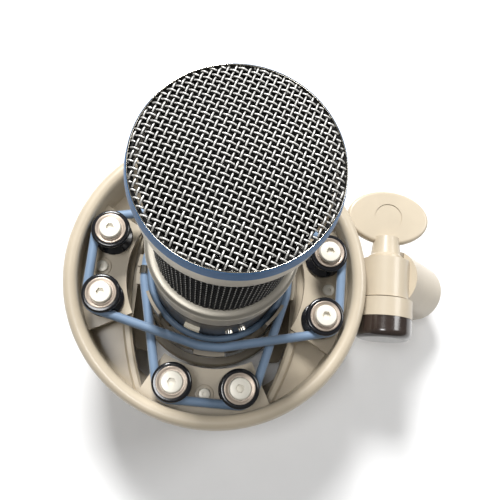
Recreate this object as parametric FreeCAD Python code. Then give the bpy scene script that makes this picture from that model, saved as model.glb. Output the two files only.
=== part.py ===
"""Ribbon microphone in an elastic shock mount, one STEP file per separate piece.

Frame: millimetres, +Z up along the microphone, origin at the centre of its flat bottom face.
-Y is the front, and the swivel that takes the stand is on +X.
"""
import FreeCAD, Part
import math
import os

V = FreeCAD.Vector
Z_AXIS = V(0, 0, 1)
Y_AXIS = V(0, 1, 0)
X_AXIS = V(1, 0, 0)

# ---- Microphone body ------------------------------------------------------------------
BODY_R = 26.0
BODY_WALL = 1.6
BASE_THICK = 3.0
SHOULDER_Z = 104.4
SHOULDER_R = 26.7
SHOULDER_TALL = 2.2

# ---- Grille head ----------------------------------------------------------------------
MESH_R = 23.6
MESH_THICK = 0.9
FINE_MESH_R = 22.6
FINE_MESH_THICK = 0.4
BAND_Z = 163.5
RING_Z = 173.2
RING_TOP_Z = 177.6
HEAD_R = 26.7
DOME_R = 25.5
RING_TIP_R = 25.9
DOME_RISE = 3.4
TOP_Z = 181.0

# ---- Connector in the bottom face -----------------------------------------------------
XLR_OPENING_R = 9.3
XLR_DEPTH = 15.0
XLR_INSERT_R = 11.5
PIN_R = 1.2
PIN_CIRCLE_R = 4.1
PIN_LONG = 11.5

# ---- Ribbon motor ---------------------------------------------------------------------
MOTOR_Z = 112.0
MOTOR_TALL = 44.0
MOTOR_WIDE = 26.0
MOTOR_DEEP = 14.0
RIBBON_WIDE = 4.8
RIBBON_THICK = 0.3
RIBBON_GAP = 1.2

# ---- Cage of the shock mount ----------------------------------------------------------
RIM_Z = 52.5
LIP_R = 3.0
CAGE_R = 63.2
WALL_IN_R = 57.6
WALL_OUT_R = 60.4
FLOOR_Z = 30.0
FLOOR_THICK = 3.0
SKIRT_Z = 2.0
SKIRT_OUT_R = 53.0
SKIRT_BEND_Z = 32.0
RAIL_X = 38.4
RAIL_ARC_R = 120.0
RAIL_WIDE = 3.8
RAIL_TALL = 2.2
BASE_RING_IN_R = 31.6
BASE_RING_OUT_R = 35.4
BASE_RING_Z = 8.0
BASE_RING_TALL = 5.0
WING_HALF_WIDE = 31.0
WING_THICK = 2.2

# ---- Spool plates and cord spools -----------------------------------------------------
PLATE_TOP_Z = 42.6
PLATE_THICK = 3.0
PLATE_IN_R = 38.5
PLATE_HALF_DEG = 28.5
PLATE_SCREW_R = 49.0
SPOOL_CIRCLE_R = 47.9
SPOOL_HALF_DEG = 16.4
SPOOL_TALL = 13.4
SPOOL_FLANGE_R = 8.1
SPOOL_CORE_R = 4.6
SPOOL_FLANGE_THICK = 1.6
SPOOL_BORE_R = 1.6
WASHER_R = 6.6
WASHER_THICK = 0.7
SPOOL_SCREW_HEAD_R = 4.8
SPOOL_SCREW_HEAD_TALL = 1.9

# ---- Elastic cord ---------------------------------------------------------------------
CORD_R = 1.9
CORD_UPPER_Z = 51.9
CORD_LOWER_Z = 47.8
CORD_CRADLE_R = 30.2
CORD_LUG_HALF = 4.6
CORD_LUG_BEND_R = 14.0
FERRULE_R = 2.4
FERRULE_LONG = 3.4
FERRULE_OFFSET = 0.6

# ---- Cradle around the body -----------------------------------------------------------
CRADLE_IN_R = 26.4
CRADLE_OUT_R = 28.2
CRADLE_Z = 24.0
CRADLE_TOP_Z = 54.4
BUMPER_TOP_Z = 61.4
BUMPER_OUT_R = 28.7
LUG_HALF_WIDE = 6.4
LUG_REACH = 34.0
CHEEK_IN_R = 28.95
CHEEK_OUT_R = 30.1
CHEEK_Z = 50.4
CHEEK_TOP_Z = 66.0
CHEEK_HALF_DEG = 10.0
KEY_Z = 67.5
KEY_TALL = 6.0
LOCK_RING_Z = 16.0
LOCK_RING_R = 30.6

# ---- Swivel and stand adapter ---------------------------------------------------------
SWIVEL_X = 74.0
SWIVEL_Z = 42.5
EYE_R = 12.4
EYE_FRONT_Y = -10.0
EYE_BACK_Y = -2.0
BARREL_R = 10.5
BARREL_BACK_Y = 16.0
BOLT_R = 3.0
BOLT_FIT = 0.05
SOCKET_R = 13.4
SOCKET_Y = 9.0
SOCKET_DROP_DEG = 50.0
SOCKET_START = 4.0
SOCKET_END = 34.5
THREAD_R = 7.43
INSERT_R = 9.2
THREAD_DEEP = 14.0
NUT_R = 12.2
NUT_FRONT_Y = -19.0
NECK_R = 6.6
PADDLE_Y = 36.0
PADDLE_HALF_WIDE = 18.5
PADDLE_HALF_DEEP = 12.4
PADDLE_THICK = 4.6

SLIVER = 0.02
CARDINALS = {"east": 0.0, "north": 90.0, "west": 180.0, "south": 270.0}


def polar(radius, degrees, z=0.0):
    """Point at a radius and an angle about the microphone's axis."""
    angle = math.radians(degrees)
    return V(radius * math.cos(angle), radius * math.sin(angle), z)


def rod(radius, start, end):
    """Solid cylinder between two points."""
    along = end - start
    return Part.makeCylinder(radius, along.Length, start, along)


def tube(r_out, r_in, z_low, z_high):
    """Upright tube about the Z axis."""
    outer = Part.makeCylinder(r_out, z_high - z_low, V(0, 0, z_low))
    return outer.cut(Part.makeCylinder(r_in, z_high - z_low, V(0, 0, z_low)))


def turned(profile):
    """Solid of revolution about Z from (radius, z) corners."""
    corners = [V(r, 0, z) for r, z in profile]
    corners.append(corners[0])
    return Part.Face(Part.makePolygon(corners)).revolve(V(0, 0, 0), Z_AXIS, 360)


def turned_band(r_in, r_out, z_low, z_high, bevel):
    """Upright ring whose two outer edges are bevelled."""
    return turned([(r_in, z_low), (r_out - bevel, z_low), (r_out, z_low + bevel),
                   (r_out, z_high - bevel), (r_out - bevel, z_high), (r_in, z_high)])


def block(x_low, x_high, y_low, y_high, z_low, z_high):
    """Box between two corners."""
    return Part.makeBox(x_high - x_low, y_high - y_low, z_high - z_low, V(x_low, y_low, z_low))


def sector(r_in, r_out, z_low, z_high, centre_deg, half_deg):
    """Slice of a tube that spans half_deg to each side of centre_deg."""
    solid = Part.makeCylinder(r_out, z_high - z_low, V(0, 0, z_low), Z_AXIS, 2 * half_deg)
    solid = solid.cut(Part.makeCylinder(r_in, z_high - z_low, V(0, 0, z_low)))
    solid.rotate(V(0, 0, 0), Z_AXIS, centre_deg - half_deg)
    return solid


def spun(shape, degrees):
    """Copy of a shape turned about the Z axis."""
    copy = shape.copy()
    copy.rotate(V(0, 0, 0), Z_AXIS, degrees)
    return copy


def fused(shapes):
    """One solid out of overlapping shapes."""
    return shapes[0].fuse(shapes[1:]).removeSplitter()


def save(name, shapes):
    """Write one node; a list of shapes stays a group of separate solids."""
    shape = Part.makeCompound(shapes) if isinstance(shapes, list) else shapes
    for solid in shape.Solids:
        if not solid.isValid():
            print("INVALID solid in", name)
    print("%-26s solids %2d  volume %9.1f" % (name, len(shape.Solids), shape.Volume))
    shape.exportStep("parts/%s.step" % name)


# ---- Microphone -----------------------------------------------------------------------
def dome(radius, edge_z, rise, thick):
    """Shallow crowned disc that is level with edge_z at its edge."""
    sphere_r = (radius ** 2 + rise ** 2) / (2 * rise)
    centre = V(0, 0, edge_z + rise - sphere_r)
    shell = Part.makeSphere(sphere_r, centre).cut(Part.makeSphere(sphere_r - thick, centre))
    return shell.common(Part.makeCylinder(radius, rise + thick, V(0, 0, edge_z - thick)))


def make_body():
    save("body_tube", turned([(BODY_R - BODY_WALL, BASE_THICK), (BODY_R, BASE_THICK),
                              (BODY_R, SHOULDER_Z), (BODY_R - BODY_WALL, SHOULDER_Z)]))
    base_bevel = 0.8
    spigot_tall = 4.0
    base = turned([(XLR_INSERT_R, 0), (BODY_R - base_bevel, 0), (BODY_R, base_bevel),
                   (BODY_R, BASE_THICK), (BODY_R - BODY_WALL, BASE_THICK),
                   (BODY_R - BODY_WALL, BASE_THICK + spigot_tall),
                   (BODY_R - 2 * BODY_WALL, BASE_THICK + spigot_tall),
                   (BODY_R - 2 * BODY_WALL, BASE_THICK), (XLR_INSERT_R, BASE_THICK)])
    save("body_base", base)
    save("body_key", sector(BODY_R + SLIVER, BODY_R + 1.4, KEY_Z, KEY_Z + KEY_TALL, 253, 6.5))
    save("shoulder_ring", turned_band(FINE_MESH_R - 1.5, SHOULDER_R, SHOULDER_Z,
                                      SHOULDER_Z + SHOULDER_TALL, 0.5))


def make_connector():
    socket = Part.makeCylinder(XLR_INSERT_R, XLR_DEPTH + 3)
    socket = socket.cut(Part.makeCylinder(XLR_OPENING_R, XLR_DEPTH))
    key_slot = block(-1.5, 1.5, -XLR_OPENING_R - 0.9, 0, 0, XLR_DEPTH)
    socket = socket.cut(key_slot)
    pins = []
    for degrees in (30, 150, 270):
        foot = polar(PIN_CIRCLE_R, degrees, XLR_DEPTH)
        pins.append(rod(PIN_R, foot - Z_AXIS * PIN_LONG, foot))
    save("xlr_insert", socket)
    save("xlr_pins", pins)


def make_grille():
    shoulder_top = SHOULDER_Z + SHOULDER_TALL
    save("grille_mesh_side", tube(MESH_R, MESH_R - MESH_THICK, shoulder_top, RING_TOP_Z - 1.0))
    save("fine_mesh_side", tube(FINE_MESH_R, FINE_MESH_R - FINE_MESH_THICK,
                                shoulder_top, RING_TOP_Z - 2.4))
    save("grille_mesh_top", dome(DOME_R, TOP_Z - DOME_RISE + SLIVER, DOME_RISE, MESH_THICK))
    save("fine_mesh_top", dome(FINE_MESH_R - 0.6, TOP_Z - 2.4 - DOME_RISE, DOME_RISE,
                               FINE_MESH_THICK))
    save("grille_band", turned_band(MESH_R + SLIVER, HEAD_R - 0.4, BAND_Z, RING_Z, 0.4))
    seat_z = RING_TOP_Z - MESH_THICK - 0.1
    seat_r = DOME_R - 0.9
    save("grille_top_ring", turned([(seat_r, RING_Z), (HEAD_R - 0.2, RING_Z),
                                    (HEAD_R, RING_Z + 0.3), (RING_TIP_R, RING_TOP_Z),
                                    (DOME_R + SLIVER, RING_TOP_Z), (DOME_R + SLIVER, seat_z),
                                    (seat_r, seat_z)]))
    post_r = 1.1
    posts = []
    for degrees in (0, 90, 180, 270):
        low = polar(FINE_MESH_R - 1.8, degrees, shoulder_top)
        posts.append(rod(post_r, low, V(low.x, low.y, RING_Z)))
    save("head_posts", posts)


def make_motor():
    """Dual ribbon motor on a plate across the shoulder, with its clamps and magnets."""
    plate_z = SHOULDER_Z + SHOULDER_TALL
    plate_thick = 2.0
    plate = Part.makeCylinder(19.5, plate_thick, V(0, 0, plate_z + SLIVER))
    plate = plate.cut(Part.makeCylinder(5.0, plate_thick + 1, V(0, 0, plate_z)))
    save("motor_plate", plate)
    half_wide = MOTOR_WIDE / 2
    half_deep = MOTOR_DEEP / 2
    top_z = MOTOR_Z + MOTOR_TALL
    slot_half = 7.8
    rail = 5.0
    frame = block(-half_wide, half_wide, -half_deep, half_deep, MOTOR_Z, top_z)
    frame = frame.cut(block(-slot_half, slot_half, -half_deep, half_deep,
                            MOTOR_Z + rail, top_z - rail))
    save("motor_frame", frame)
    isolators = []
    for x in (-9.5, 9.5):
        for y in (-5.0, 5.0):
            start = V(x, y, plate_z + plate_thick + SLIVER)
            isolators.append(rod(1.9, start, V(x, y, MOTOR_Z - SLIVER)))
    save("motor_isolators", isolators)
    inner_low = MOTOR_Z + rail + 0.6
    inner_high = top_z - rail - 0.6
    pole_in = RIBBON_WIDE / 2 + 0.5
    magnet_in = pole_in + 2.2
    poles = []
    magnets = []
    for side in (-1, 1):
        near, far = sorted((side * pole_in, side * magnet_in))
        poles.append(block(near, far, -3.0, 3.0, inner_low, inner_high))
        near, far = sorted((side * (magnet_in + SLIVER), side * (slot_half - SLIVER)))
        magnets.append(block(near, far, -4.5, 4.5, inner_low, inner_high))
    save("pole_pieces", poles)
    save("motor_magnets", magnets)
    ribbons = []
    clamps = []
    screws = []
    clamp_tall = 3.4
    clamp_thick = 1.4
    for side in (-1, 1):
        centre_y = side * (half_deep + RIBBON_GAP / 2)
        near, far = sorted((centre_y - side * RIBBON_THICK / 2, centre_y + side * RIBBON_THICK / 2))
        ribbons.append(block(-RIBBON_WIDE / 2, RIBBON_WIDE / 2, near, far,
                             MOTOR_Z + 1, top_z - 1))
        outer_y = centre_y + side * (RIBBON_THICK / 2 + SLIVER)
        for clamp_z in (MOTOR_Z + 0.6, top_z - 0.6 - clamp_tall):
            near, far = sorted((outer_y, outer_y + side * clamp_thick))
            clamp = block(-6.5, 6.5, near, far, clamp_z, clamp_z + clamp_tall)
            middle_z = clamp_z + clamp_tall / 2
            for x in (-4.8, 4.8):
                head = outer_y + side * (clamp_thick + 0.8)
                screw = rod(1.3, V(x, outer_y + side * clamp_thick, middle_z), V(x, head, middle_z))
                shank = rod(0.7, V(x, side * (half_deep + SLIVER), middle_z),
                            V(x, outer_y + side * clamp_thick, middle_z))
                clamp = clamp.cut(rod(0.72, V(x, outer_y - side, middle_z), V(x, head, middle_z)))
                screws.append(screw.fuse(shank).removeSplitter())
            clamps.append(clamp)
    save("ribbons", ribbons)
    save("ribbon_clamps", clamps)
    save("clamp_screws", screws)


def make_electronics():
    """Chassis rods, circuit board and output transformer inside the body tube."""
    rod_r = 1.8
    rods = []
    for degrees in (45, 135, 225, 315):
        low = polar(19.5, degrees, BASE_THICK)
        rods.append(rod(rod_r, low, V(low.x, low.y, SHOULDER_Z)))
    save("chassis_rods", rods)
    save("circuit_board", block(-11.5, 11.5, 10.2, 11.8, 24, 64))
    lamination = block(-13, 13, -9, 9, 70, 98)
    save("transformer", lamination)
    straps = []
    for z in (67.0, 98.2):
        straps.append(block(-15.5, 15.5, -5, 5, z, z + 1.6))
    save("transformer_straps", straps)
    wires = []
    for x in (-2.0, 2.0):
        wires.append(rod(0.6, V(x, 0, 99.8 + SLIVER), V(x, 0, MOTOR_Z - SLIVER)))
    save("signal_wires", wires)


# ---- Cage -----------------------------------------------------------------------------
def east_arc(radius, z_low, z_high):
    """Large upright cylinder whose east side bulges out to the rail."""
    return Part.makeCylinder(radius, z_high - z_low, V(RAIL_X - RAIL_ARC_R, 0, z_low))


def east_shelf():
    """Crescent of floor on the east side with a rounded rail along its inner edge."""
    floor_top = FLOOR_Z + FLOOR_THICK
    shelf = Part.makeCylinder(WALL_IN_R + 1, FLOOR_THICK, V(0, 0, FLOOR_Z))
    shelf = shelf.cut(east_arc(RAIL_ARC_R, FLOOR_Z, floor_top))
    half = RAIL_WIDE / 2
    rail_top = floor_top + RAIL_TALL
    bevel = 1.0
    rail = turned([(RAIL_ARC_R - half, FLOOR_Z), (RAIL_ARC_R + half, FLOOR_Z),
                   (RAIL_ARC_R + half, rail_top - bevel), (RAIL_ARC_R + half - bevel, rail_top),
                   (RAIL_ARC_R - half + bevel, rail_top), (RAIL_ARC_R - half, rail_top - bevel)])
    rail.translate(V(RAIL_X - RAIL_ARC_R, 0, 0))
    rail = rail.common(block(0, CAGE_R, -CAGE_R, CAGE_R, 0, RIM_Z))
    return shelf.fuse(rail.common(Part.makeCylinder(WALL_IN_R + 1, RIM_Z)))


def make_cage():
    lip = Part.makeTorus(CAGE_R - LIP_R, LIP_R, V(0, 0, RIM_Z))
    wall_thick = WALL_OUT_R - WALL_IN_R
    wall = turned([(WALL_IN_R, RIM_Z), (WALL_OUT_R, RIM_Z), (WALL_OUT_R, SKIRT_BEND_Z),
                   (SKIRT_OUT_R, SKIRT_Z), (SKIRT_OUT_R - wall_thick, SKIRT_Z),
                   (WALL_IN_R, SKIRT_BEND_Z)])
    posts = []
    post_top = PLATE_TOP_Z - PLATE_THICK
    for degrees in CARDINALS.values():
        foot = polar(PLATE_SCREW_R, degrees, FLOOR_Z + 1)
        post = rod(4.0, foot, V(foot.x, foot.y, post_top))
        rib = block(PLATE_SCREW_R, WALL_IN_R + 1, -2.0, 2.0, FLOOR_Z + 1, post_top)
        thread = rod(1.55, V(foot.x, foot.y, post_top - 6), V(foot.x, foot.y, post_top))
        posts.append(post.fuse(spun(rib, degrees)).cut(thread))
    shelves = [east_shelf(), spun(east_shelf(), 180)]
    cage = fused([wall, lip] + shelves + posts)
    save("cage_ring", cage)
    base_ring = turned_band(BASE_RING_IN_R, BASE_RING_OUT_R, BASE_RING_Z,
                            BASE_RING_Z + BASE_RING_TALL, 0.8)
    save("cage_base_ring", base_ring)
    for name, turn in (("east", 0), ("west", 180)):
        wing = make_wing().cut(tube(BASE_RING_OUT_R + SLIVER, 1.0, 0, BASE_RING_Z + BASE_RING_TALL))
        wing = wing.cut(Part.makeCylinder(BASE_RING_IN_R, RIM_Z))
        wing = wing.common(east_arc(RAIL_ARC_R - RAIL_WIDE / 2 - SLIVER, 0, RIM_Z))
        save("cage_wing_" + name, spun(max(wing.Solids, key=lambda s: s.Volume), turn))
    return cage


def make_wing():
    """Scooped apron from the east rail down to the base ring."""
    top_x = RAIL_X - RAIL_WIDE / 2
    low_x = BASE_RING_IN_R - 3.0
    top_z = FLOOR_Z + FLOOR_THICK - 0.5
    low_z = BASE_RING_Z + 1.0
    mid = V(top_x - 3.2, 0, (top_z + low_z) / 2 - 2.4)
    outer = Part.Arc(V(top_x, 0, top_z), mid, V(low_x, 0, low_z)).toShape()
    inset = V(-WING_THICK, 0, 0)
    inner = Part.Arc(V(top_x, 0, top_z) + inset, mid + inset, V(low_x, 0, low_z) + inset).toShape()
    ends = [Part.makeLine(V(top_x, 0, top_z), V(top_x, 0, top_z) + inset),
            Part.makeLine(V(low_x, 0, low_z), V(low_x, 0, low_z) + inset)]
    outline = Part.Wire(Part.__sortEdges__([outer, inner] + ends))
    sheet = Part.Face(outline).extrude(V(0, 2 * WING_HALF_WIDE, 0))
    sheet.translate(V(0, -WING_HALF_WIDE, 0))
    return sheet


# ---- Spools ---------------------------------------------------------------------------
def make_spool(centre):
    """Waisted pulley that carries the cord, standing on its plate."""
    low = centre.z
    high = low + SPOOL_TALL
    flare = 2.0
    spool = turned([(SPOOL_BORE_R, low), (SPOOL_FLANGE_R, low), (SPOOL_FLANGE_R, low + 1.2),
                    (SPOOL_CORE_R + 0.6, low + 1.2 + flare * 0.6), (SPOOL_CORE_R, low + 3.0),
                    (SPOOL_CORE_R, high - 3.4), (SPOOL_CORE_R + 0.6, high - SPOOL_FLANGE_THICK - 0.8),
                    (SPOOL_FLANGE_R, high - SPOOL_FLANGE_THICK), (SPOOL_FLANGE_R, high - 0.5),
                    (SPOOL_FLANGE_R - 0.5, high), (SPOOL_BORE_R, high)])
    spool.translate(V(centre.x, centre.y, 0))
    return spool


def make_spools():
    washers = []
    screws = []
    plate_screws = []
    high = PLATE_TOP_Z + SPOOL_TALL
    for name, cardinal in CARDINALS.items():
        plate = sector(PLATE_IN_R, WALL_IN_R - 0.05, PLATE_TOP_Z - PLATE_THICK + SLIVER, PLATE_TOP_Z,
                       cardinal, PLATE_HALF_DEG)
        screw_at = polar(PLATE_SCREW_R, cardinal, PLATE_TOP_Z)
        drop = Z_AXIS * (PLATE_THICK + 5)
        plate = plate.cut(rod(1.55, screw_at - drop, screw_at))
        shank = rod(1.5, screw_at - drop, screw_at + Z_AXIS * 0.5)
        head = Part.makeCylinder(3.1, 1.8, screw_at)
        head = head.makeFillet(0.8, [edge for edge in head.Edges if edge.BoundBox.ZMin > screw_at.z + 1])
        head = head.cut(Part.makeCylinder(1.1, 1.2, screw_at + Z_AXIS * 0.8))
        plate_screws.append(shank.fuse(head).removeSplitter())
        for side, offset in (("left", -SPOOL_HALF_DEG), ("right", SPOOL_HALF_DEG)):
            centre = polar(SPOOL_CIRCLE_R, cardinal + offset, PLATE_TOP_Z)
            plate = plate.cut(rod(1.35, centre - drop, centre))
            save("cord_spool_%s_%s" % (name, side), make_spool(centre))
            washer = Part.makeCylinder(WASHER_R, WASHER_THICK, V(centre.x, centre.y, high))
            washer = washer.cut(Part.makeCylinder(SPOOL_BORE_R, 2, V(centre.x, centre.y, high)))
            washers.append(washer)
            under_head = V(centre.x, centre.y, high + WASHER_THICK)
            button = Part.makeCylinder(SPOOL_SCREW_HEAD_R, SPOOL_SCREW_HEAD_TALL, under_head)
            top_edges = [e for e in button.Edges if e.BoundBox.ZMin > under_head.z + 1]
            button = button.makeFillet(1.4, top_edges)
            button = button.cut(Part.makeCylinder(1.2, 1.3, under_head + Z_AXIS * 0.8))
            stem = rod(1.3, V(centre.x, centre.y, PLATE_TOP_Z - PLATE_THICK), under_head)
            screws.append(button.fuse(stem).removeSplitter())
        save("spool_plate_" + name, plate)
    save("spool_washers", washers)
    save("spool_screws", screws)
    save("plate_screws", plate_screws)


# ---- Elastic cord ---------------------------------------------------------------------
def tangent_corner(lug_point, spool_centre, wrap_r, outer_x):
    """Corner where the line from a lug, tangent to a spool, meets the outer run at outer_x."""
    to_spool = spool_centre - lug_point
    lean = math.asin(wrap_r / to_spool.Length)
    heading = math.atan2(to_spool.y, to_spool.x) + lean
    reach = (outer_x - lug_point.x) / math.cos(heading)
    return V(outer_x, lug_point.y + reach * math.sin(heading), 0)


def cord_corners():
    """Corners and bend radii of one cord loop that crosses the front and the back."""
    wrap_r = SPOOL_CORE_R + CORD_R
    spool = polar(SPOOL_CIRCLE_R, 180 + SPOOL_HALF_DEG)
    lug = V(-CORD_LUG_HALF, -CORD_CRADLE_R, 0)
    outer = tangent_corner(lug, spool, wrap_r, spool.x - wrap_r)
    quarter = [(lug, CORD_LUG_BEND_R), (outer, wrap_r)]
    corners = []
    corners += quarter
    corners += [(V(p.x, -p.y, 0), r) for p, r in reversed(quarter)]
    corners += [(V(-p.x, -p.y, 0), r) for p, r in quarter]
    corners += [(V(-p.x, p.y, 0), r) for p, r in reversed(quarter)]
    return corners


def rounded_loop(corners, z):
    """Closed wire of straight runs joined by tangent arcs."""
    count = len(corners)
    tangents = []
    for i in range(count):
        point, radius = corners[i]
        back = (corners[i - 1][0] - point).normalize()
        ahead = (corners[(i + 1) % count][0] - point).normalize()
        half_angle = back.getAngle(ahead) / 2
        setback = radius / math.tan(half_angle)
        bisector = (back + ahead).normalize()
        centre = point + bisector * (radius / math.sin(half_angle))
        tangents.append((point + back * setback, centre - bisector * radius, point + ahead * setback))
    lift = V(0, 0, z)
    edges = []
    for i in range(count):
        enter, middle, leave = tangents[i]
        edges.append(Part.Arc(enter + lift, middle + lift, leave + lift).toShape())
        edges.append(Part.makeLine(leave + lift, tangents[(i + 1) % count][0] + lift))
    return Part.Wire(edges)


def make_cords():
    ferrules = []
    for name, z, turn in (("front_back", CORD_UPPER_Z, 0), ("left_right", CORD_LOWER_Z, 90)):
        path = rounded_loop(cord_corners(), z)
        edge = path.Edges[1]
        start = edge.valueAt(edge.FirstParameter)
        circle = Part.Circle(start, edge.tangentAt(edge.FirstParameter), CORD_R)
        path = Part.Wire(path.Edges[1:] + path.Edges[:1])
        section = Part.Wire([circle.toShape()])
        cord = path.makePipeShell([section], True, True)
        if cord.Volume < 0:
            cord.reverse()
        expected = math.pi * CORD_R ** 2 * path.Length
        print("cord %s length %.1f volume ratio %.4f" % (name, path.Length, cord.Volume / expected))
        sleeve_centre = V(-FERRULE_OFFSET, CORD_CRADLE_R, z)
        half = X_AXIS * (FERRULE_LONG / 2)
        sleeve = rod(FERRULE_R, sleeve_centre - half, sleeve_centre + half)
        sleeve = sleeve.cut(rod(CORD_R, sleeve_centre - half, sleeve_centre + half))
        ferrules.append(spun(sleeve, turn))
        save("cord_loop_" + name, spun(cord, turn))
    save("cord_ferrules", ferrules)


# ---- Cradle ---------------------------------------------------------------------------
def make_cradle():
    basket = tube(CRADLE_OUT_R - 0.4, CRADLE_IN_R, CRADLE_Z, CRADLE_TOP_Z)
    lugs = []
    for degrees in CARDINALS.values():
        cord_z = CORD_UPPER_Z if degrees in (90.0, 270.0) else CORD_LOWER_Z
        shelf_top = cord_z - CORD_R - 0.1
        face = block(20, CORD_CRADLE_R - FERRULE_R - 0.2, -LUG_HALF_WIDE, LUG_HALF_WIDE,
                     shelf_top - 5, CRADLE_TOP_Z)
        shelf = block(20, LUG_REACH, -LUG_HALF_WIDE, LUG_HALF_WIDE, shelf_top - 4.0, shelf_top)
        shelf = shelf.common(Part.makeCylinder(LUG_REACH, CRADLE_TOP_Z))
        recess = block(CRADLE_OUT_R + 2, LUG_REACH - 1.2, -4.0, 4.0, shelf_top - 5.0, shelf_top - 2.0)
        lug = fused([face, shelf]).cut(recess)
        if degrees in (90.0, 180.0):
            room = FERRULE_R + 0.2
            sleeve_half = FERRULE_LONG / 2 + 0.3
            lug = lug.cut(block(CORD_CRADLE_R - room, LUG_REACH, FERRULE_OFFSET - sleeve_half,
                                FERRULE_OFFSET + sleeve_half, cord_z - room, CRADLE_TOP_Z))
        lugs.append(spun(lug, degrees))
    foot = tube(CRADLE_OUT_R + 1.2, CRADLE_IN_R, CRADLE_Z, CRADLE_Z + 3)
    cradle = fused([basket, foot] + lugs).cut(Part.makeCylinder(CRADLE_IN_R, TOP_Z))
    for degrees in (30, 60, 120, 150, 210, 240, 300, 330):
        window = block(20, 40, -5.2, 5.2, CRADLE_Z + 5, CRADLE_TOP_Z - 3)
        cradle = cradle.cut(spun(window, degrees))
    for degrees in (35, 145, 215, 325):
        cheek = sector(CHEEK_IN_R, CHEEK_OUT_R, CHEEK_Z, CHEEK_TOP_Z, degrees, CHEEK_HALF_DEG)
        bridge = sector(CRADLE_IN_R + 0.5, CHEEK_OUT_R, CHEEK_Z, CRADLE_TOP_Z - 0.5, degrees,
                        CHEEK_HALF_DEG)
        cradle = cradle.fuse(cheek).fuse(bridge)
    cradle = cradle.removeSplitter()
    screws = []
    for degrees in (263, 277):
        start = polar(CRADLE_IN_R + SLIVER, degrees, 33.0)
        end = polar(CRADLE_OUT_R + 0.9, degrees, 33.0)
        screws.append(rod(1.5, start, end))
        cradle = cradle.cut(rod(1.55, start - (end - start), end + (end - start)))
    for degrees in (284, 295):
        height = KEY_Z + KEY_TALL / 2
        screws.append(rod(1.5, polar(BODY_R + SLIVER, degrees, height),
                          polar(BODY_R + 1.2, degrees, height)))
    save("cradle_basket", cradle)
    save("cradle_screws", screws)
    save("cradle_bumper_ring", turned_band(BODY_R + 0.05, BUMPER_OUT_R, CRADLE_TOP_Z + SLIVER,
                                           BUMPER_TOP_Z, 1.1))
    lock = turned_band(BODY_R + 0.35, LOCK_RING_R, LOCK_RING_Z, CRADLE_Z - 0.1, 0.8)
    for step in range(24):
        notch = rod(1.0, polar(LOCK_RING_R + 0.3, step * 15, 0), polar(LOCK_RING_R + 0.3, step * 15, 40))
        lock = lock.cut(notch)
    save("cradle_lock_ring", lock)


# ---- Swivel ---------------------------------------------------------------------------
def at_pivot(y):
    """Point on the swivel axis."""
    return V(SWIVEL_X, y, SWIVEL_Z)


def make_swivel(cage):
    bolt_bore = rod(BOLT_R + BOLT_FIT, at_pivot(-60), at_pivot(60))
    eye = rod(EYE_R, at_pivot(EYE_FRONT_Y), at_pivot(EYE_BACK_Y))
    arm = block(WALL_OUT_R - 4, SWIVEL_X, EYE_FRONT_Y, EYE_BACK_Y, SWIVEL_Z - 8, SWIVEL_Z + 6)
    flange = sector(WALL_OUT_R - 1, WALL_OUT_R + 2.0, SWIVEL_Z - 10, SWIVEL_Z + 5.5, -5.5, 13)
    bracket = fused([eye, arm, flange]).cut(bolt_bore)
    inside = Part.makeCylinder(WALL_OUT_R + SLIVER, 2 * RIM_Z)
    keep_clear = Part.makeTorus(CAGE_R - LIP_R, LIP_R + SLIVER, V(0, 0, RIM_Z))
    bracket = bracket.cut(inside).cut(keep_clear)
    rivets = []
    for degrees in (-16.0, 5.0):
        low = polar(WALL_OUT_R + 0.5, degrees, SWIVEL_Z - 3)
        high = polar(WALL_OUT_R + 3.2, degrees, SWIVEL_Z - 3)
        rivets.append(rod(1.9, low, high))
        bracket = bracket.cut(rod(1.92, low - (high - low) * 2, high + (high - low)))
    save("swivel_bracket", bracket)
    save("bracket_screws", rivets)
    save("friction_washer", rod(8.5, at_pivot(EYE_BACK_Y + 0.05), at_pivot(EYE_BACK_Y + 0.75))
         .cut(bolt_bore))
    barrel = rod(BARREL_R, at_pivot(EYE_BACK_Y + 0.8), at_pivot(BARREL_BACK_Y))
    drop = math.radians(SOCKET_DROP_DEG)
    heading = V(math.cos(drop), 0, -math.sin(drop))
    centre = at_pivot(SOCKET_Y)
    socket = rod(SOCKET_R, centre + heading * SOCKET_START, centre + heading * SOCKET_END)
    mouth = centre + heading * SOCKET_END
    insert_space = rod(INSERT_R, mouth - heading * (THREAD_DEEP + 0.4), mouth)
    eye_room = rod(EYE_R + 0.4, at_pivot(EYE_FRONT_Y), at_pivot(EYE_BACK_Y + 0.8))
    screw_room = rod(NECK_R + 1.4, at_pivot(BARREL_BACK_Y), at_pivot(PADDLE_Y))
    socket = socket.cut(eye_room).cut(screw_room)
    adapter = fused([barrel, socket]).cut(insert_space).cut(bolt_bore)
    save("stand_adapter", adapter)
    insert = rod(INSERT_R, mouth - heading * THREAD_DEEP, mouth)
    save("thread_insert", insert.cut(rod(THREAD_R, mouth - heading * THREAD_DEEP, mouth)))
    nut = rod(NUT_R, at_pivot(NUT_FRONT_Y), at_pivot(EYE_FRONT_Y - 0.1))
    nut = nut.makeFillet(3.0, [e for e in nut.Edges if e.BoundBox.YMax < NUT_FRONT_Y + 0.1])
    save("pivot_nut", nut.cut(rod(BOLT_R + BOLT_FIT, at_pivot(NUT_FRONT_Y + 3), at_pivot(0))))
    make_thumb_screw()


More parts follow.
